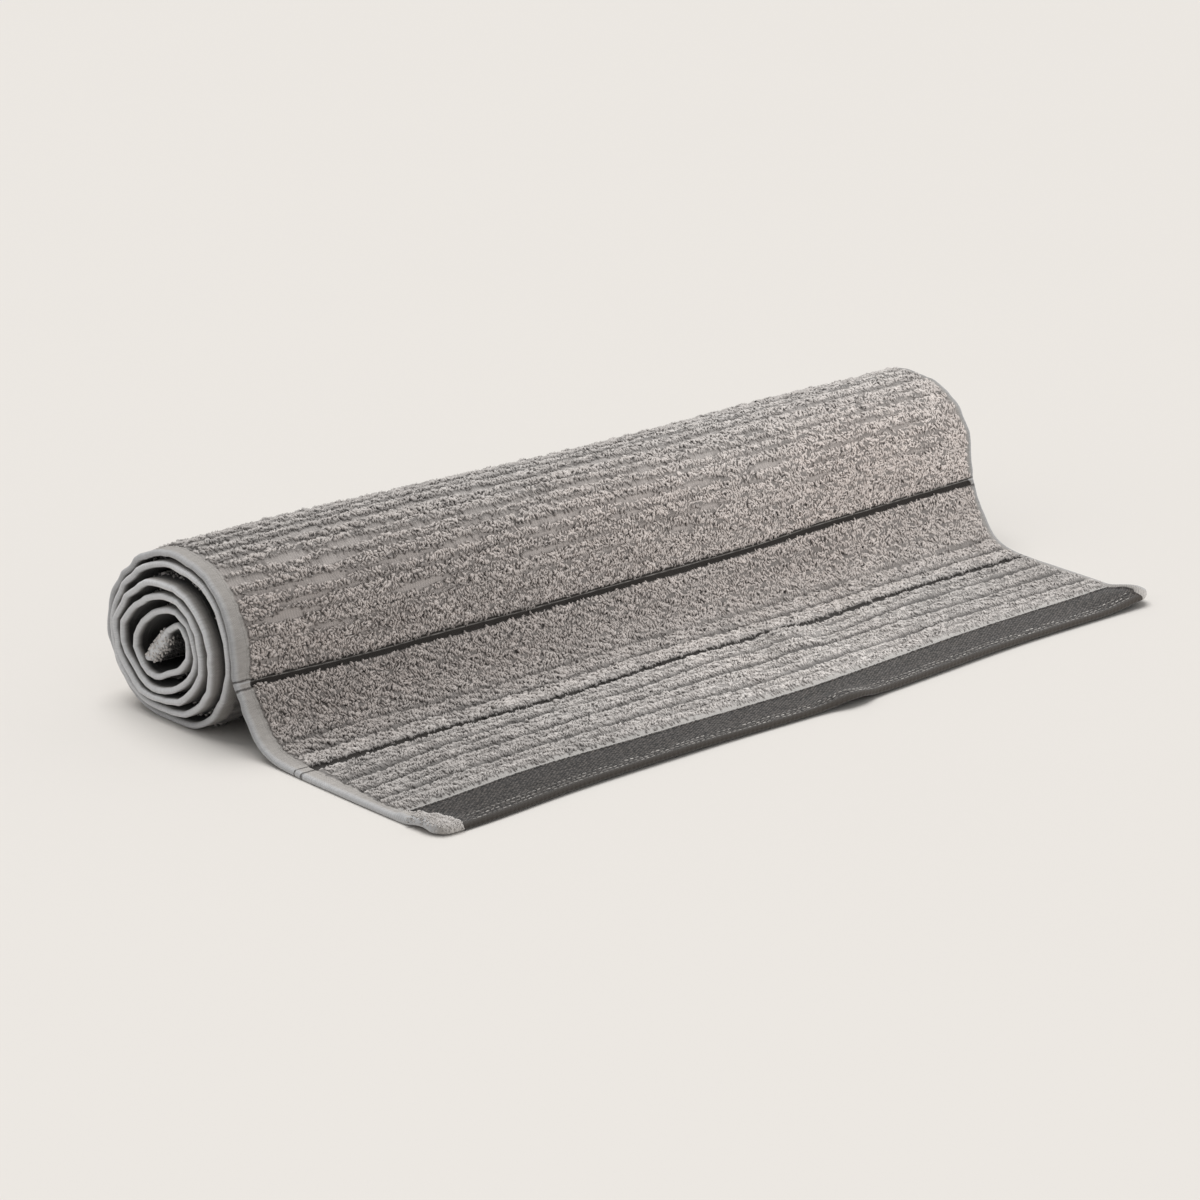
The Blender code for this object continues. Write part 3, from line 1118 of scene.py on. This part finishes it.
def loop_material():
    """Twisted cotton loops, each a little lighter or darker than the next, with their points' painted shade
    and patches of painted light and shade.
    """
    nodes = Nodes("terry_loops", 0.92, 0.25)
    across, along = nodes.place()
    thread = nodes.noise(1900, 2)
    # The points' painted shade, and each loop's own tone
    light = nodes.times(nodes.ramp(nodes.each(across, along), 0, 1, 0.9, 1.05), nodes.stored("light"))
    # Patches of painted light and shade, as on clumps of loops
    light = nodes.times(light, nodes.ramp(nodes.noise(85, 4), 0.34, 0.66, 0.87, 1.08))
    light = nodes.times(light, nodes.ramp(thread, 0.3, 0.7, 0.92, 1.06))
    colour = nodes.shade(pile_colour(nodes, across, along), light)
    return nodes.done(colour, nodes.bump(thread, 0.0004, 0.6), nodes.ramp(thread, 0.3, 0.7, 0.86, 0.98))


def woven_lines(nodes, across, along):
    """A plain weave's small humps, as a height from 0 to 1."""
    crossed = nodes.times(nodes.ribs(across, WEAVE_PITCH[0]), nodes.ribs(along, WEAVE_PITCH[1]))
    return nodes.math("MULTIPLY_ADD", crossed, 0.5, 0.5)


def twill_lines(nodes, across, along):
    """The border's fine slanting ribs, as a height from 0 to 1."""
    slant = nodes.math("MULTIPLY_ADD", along, TWILL_SLANT, across)
    uneven = nodes.ramp(nodes.noise(300, 2), 0.2, 0.8, -0.7, 0.7)
    rib = nodes.ribs(nodes.math("ADD", slant, uneven), TWILL_PITCH)
    return nodes.math("MULTIPLY_ADD", rib, 0.5, 0.5)


def stripe_bands(nodes, line):
    """Where the stripes are dark, and the two thin dark marks that each makes on the side hems."""
    dark, marks = 0, 0
    for middle, half_width, ragged in STRIPES:
        reach = half_width + ragged + 0.6
        dark = nodes.most(dark, nodes.span(line, middle - reach, middle + reach))
        for mark in (middle - MARK_OFF, middle + MARK_OFF):
            marks = nodes.most(marks, nodes.span(line, mark - MARK_HALF_WIDTH, mark + MARK_HALF_WIDTH))
    return dark, marks


def painted_gap_shade(nodes, along, inside):
    """How much painted shade a place gets where it is shut in between the turns, where little light comes.
    """
    deep = nodes.times(nodes.ramp(along, 560, 640), nodes.ramp(inside, -8, -0.5))
    within = nodes.most(nodes.stored("inner"), nodes.ramp(along, CORE_FROM, CORE_FROM + 8))
    within = nodes.times(within, nodes.ramp(nodes.stored("side"), 1.5, 6))
    within = nodes.times(within, nodes.ramp(along, 170, 230))
    return nodes.most(deep, within)


def ground_colour(nodes, across, along, weave):
    """The terry's woven ground with painted shade: darkest at the foot of the pile, and in the flap's
    channels.
    """
    on_flap = nodes.ramp(along, 150, 200, 1, 0)
    ground = nodes.lit(pile_colour(nodes, across, along), weave, 0, 1, 0.8, 1)
    ground = nodes.lit(ground, nodes.ribs(across, GROUND_RIB_PITCH), -1, 1, 0.88, 1.06)
    # Painted shade: deepest in the flap's open channels and under the roll's pile, lightest in the roll's
    # open channels
    under_pile = nodes.ramp(nodes.stored("pile"), 0, 2.2)
    lights = (nodes.ramp(on_flap, 0, 1, 0.7, 0.26), nodes.ramp(on_flap, 0, 1, 0.36, 0.5))
    return nodes.shade(ground, nodes.mix_numbers(under_pile, *lights))


def tape_colour(nodes, across, along, weave, threads):
    """The side hems: warm grey with a cooler rim, with painted light on the flap and round the roll's end.
    """
    rim = nodes.ramp(nodes.stored("side"), 0.8, 4.6, 1, 0)
    colour = nodes.lit(nodes.mix(rim, TAPE_WARM, TAPE_RIM), weave, 0, 1, 0.92, 1.05)
    colour = nodes.lit(colour, threads, 0.3, 0.7, 0.86, 1.08)
    colour = nodes.lit(colour, across, 350, 690, 1, 0.76)
    # Painted light: lighter on the flat flap, and from the roll's top round its end
    colour = nodes.lit(colour, along, 130, 200, 1.35, 1)
    colour = nodes.lit(colour, along, 250, 340, 1, 1.28)
    # Painted highlight on the inner turns' rims, painted shade on the rest of their faces
    inner_turns = nodes.ramp(along, 560, 640)
    return nodes.shade(colour, nodes.mix_numbers(inner_turns, 1, nodes.ramp(rim, 0, 1, 0.85, 1.32)))


def border_colour(nodes, along, twill):
    """The charcoal border, browner at its folded hem."""
    colour = nodes.lit(nodes.mix(nodes.noise(70, 3), CHARCOAL, HEM_BROWN), twill, 0, 1, 0.5, 1.32)
    colour = nodes.lit(colour, nodes.noise(430, 1), 0.42, 0.6, 0.3, 1.75)
    return nodes.mix(nodes.ramp(along, HEM_TO - 1, HEM_TO + 1), HEM_BROWN, colour)


def cloth_material():
    """The woven cloth: ground with charcoal stripes, a border with a pale lip, and side hems."""
    nodes = Nodes("towel_weave", 0.9, 0.2)
    across, along = nodes.place()
    inside = nodes.stored("tape")
    tape = nodes.math("SUBTRACT", 1, nodes.ramp(inside, -0.3, 0.3))
    line = nodes.math("ADD", along, nodes.ramp(nodes.noise(700, 1), 0.3, 0.7, -0.3, 0.3))
    border = nodes.span(line, *BORDER_BAND)
    dark, marks = stripe_bands(nodes, line)
    thin = nodes.span(along, *THIN_LINE_BAND)
    weave = woven_lines(nodes, across, along)
    twill = twill_lines(nodes, across, along)
    fibre = nodes.noise(2600, 2)
    threads = nodes.point(nodes.times(across, 0.12), nodes.times(along, 0.9))
    threads = nodes.noise(1, 3, threads)
    lip_colour = nodes.lit(LIP_PALE, weave, 0, 1, 0.88, 1.05)
    colour = nodes.mix(nodes.span(along, *LIP_BAND), ground_colour(nodes, across, along, weave), lip_colour)
    colour = nodes.mix(dark, colour, STRIPE_DARK)
    thin_share = nodes.times(thin, nodes.ramp(threads, 0.4, 0.6, 0.15, 0.6))
    colour = nodes.mix(thin_share, colour, STITCH_PALE)
    colour = nodes.mix(border, colour, border_colour(nodes, along, twill))
    marked = tape_colour(nodes, across, along, weave, threads)
    marked = nodes.mix(nodes.times(marks, 0.85), marked, MARK_DARK)
    marked = nodes.mix(thin, marked, TAPE_RIM)
    colour = nodes.mix(tape, colour, marked)
    colour = nodes.lit(colour, fibre, 0.25, 0.75, 0.9, 1.08)
    # Painted shade between the turns and on the inner face, where little light comes
    colour = nodes.lit(colour, painted_gap_shade(nodes, along, inside), 0, 1, 1, 0.08)
    height = nodes.mix_numbers(border, weave, twill)
    height = nodes.math("MULTIPLY_ADD", fibre, 0.5, height)
    height = nodes.math("MULTIPLY_ADD", nodes.span(inside, *SEAM_BAND), -1.2, height)
    return nodes.done(colour, nodes.bump(height, 0.00035, 0.7), nodes.ramp(fibre, 0.25, 0.75, 0.84, 0.97))


def stitch_material():
    """Pale thread, each stitch a little lighter or darker than the next."""
    nodes = Nodes("pale_thread", 0.8, 0.2)
    across, along = nodes.place()
    own = nodes.ramp(nodes.each(across, along), 0, 1, 0.4, 1.25)
    # The points' painted shade, with each stitch's own tone
    colour = nodes.shade(STITCH_PALE, nodes.times(own, nodes.most(nodes.stored("light"), 0.15)))
    return nodes.done(colour, nodes.bump(nodes.noise(2400, 2), 0.0003, 0.5))


def floor_material():
    """A plain pale surface."""
    nodes = Nodes("pale_floor", 0.85, 0)
    return nodes.done(nodes.mix(nodes.noise(4, 3), *FLOOR_COLOURS))


def make_floor():
    """The surface that the towel lies on, for the pictures only."""
    data = bpy.data.meshes.new("floor")
    corners = [(x * FLOOR_REACH, y * FLOOR_REACH, 0) for x, y in ((-1, -1), (1, -1), (1, 1), (-1, 1))]
    data.from_pydata(corners, [], [(0, 1, 2, 3)])
    data.materials.append(floor_material())
    add_object("floor", data)


def point_at(thing, towards):
    """Turns a light to shine in this direction."""
    thing.rotation_euler = towards.to_track_quat("-Z", "Y").to_euler()


def make_lights():
    """A soft even sky, and one broad soft light from high up and a little behind the towel."""
    world = bpy.data.worlds.new("soft_sky")
    world.use_nodes = True
    sky = world.node_tree.nodes["Background"]
    sky.inputs["Color"].default_value = rgb(1, 0.995, 0.985)
    sky.inputs["Strength"].default_value = SKY_STRENGTH
    bpy.context.scene.world = world
    data = bpy.data.lights.new("overhead", "SUN")
    data.energy = SUN_STRENGTH
    data.angle = SUN_ANGLE
    data.color = (1, 0.985, 0.965)
    point_at(add_object("overhead", data), Vector(SUN_TOWARDS))


def make_fill(pieces):
    """A soft lamp off the right front of the towel, that lights the towel and not the floor."""
    data = bpy.data.lights.new("fill", "AREA")
    data.shape = "DISK"
    data.size = FILL_SIZE
    data.energy = FILL_POWER
    data.color = (1, 0.99, 0.975)
    lamp = add_object("fill", data)
    lamp.location = FILL_FROM
    point_at(lamp, Vector(FILL_AT) - Vector(FILL_FROM))
    lamp.visible_camera = False
    lit = bpy.data.collections.new("lit_by_fill")
    for piece in pieces:
        lit.objects.link(piece)
    lamp.light_linking.receiver_collection = lit


def make_camera():
    """A long lens, a little above the towel and off its left end, as in the photograph."""
    data = bpy.data.cameras.new("camera")
    data.lens = LENS_LENGTH
    data.sensor_width = LENS_WIDTH
    data.clip_end = 100
    camera = add_object("camera", data)
    level_right = Vector((math.cos(VIEW_TURN), -math.sin(VIEW_TURN), 0))
    forward = Vector((math.sin(VIEW_TURN), math.cos(VIEW_TURN), 0))
    level_up = Vector((0, 0, math.cos(VIEW_DOWN))) + forward * math.sin(VIEW_DOWN)
    look = forward * math.cos(VIEW_DOWN) - Vector((0, 0, math.sin(VIEW_DOWN)))
    right = level_right * math.cos(VIEW_ROLL) + level_up * math.sin(VIEW_ROLL)
    up = level_up * math.cos(VIEW_ROLL) - level_right * math.sin(VIEW_ROLL)
    turn = Matrix((right, up, -look)).transposed().to_4x4()
    spot = Vector(VIEW_FROM) + Vector(TO_MODEL.tolist()) * MM
    camera.matrix_world = Matrix.Translation(spot) @ turn
    bpy.context.scene.camera = camera


def make_towel():
    """The whole towel: its cloth, its pile and its stitches."""
    loops = loop_material()
    cloth = make_cloth(cloth_material())
    pile = [
        pile_band("loops_flap", 11, PILE_FROM, 136.5, (0.5, 0.5), loops),
        pile_band("loops_front", 13, 139, 250, (0.6, 0.6), loops, 1.12),
        pile_band("loops_shoulder", 15, 250, 345, (0.6, 0.6), loops, 1.12),
        pile_band("loops_top", 17, 345, 440, (0.6, 0.6), loops, 1.12),
        pile_band("loops_back", 19, 440, 560, (0.42, 0.5), loops, 1.15, 1.25),
        corner_tuft(loops),
        end_pile(loops),
        core_pile(loops),
    ]
    stitches = border_stitches(stitch_material())
    return [cloth, *pile, stitches]


make_floor()
make_lights()
make_camera()
make_fill(make_towel())
bpy.context.scene.view_settings.view_transform = "Standard"

bpy.context.view_layer.update()
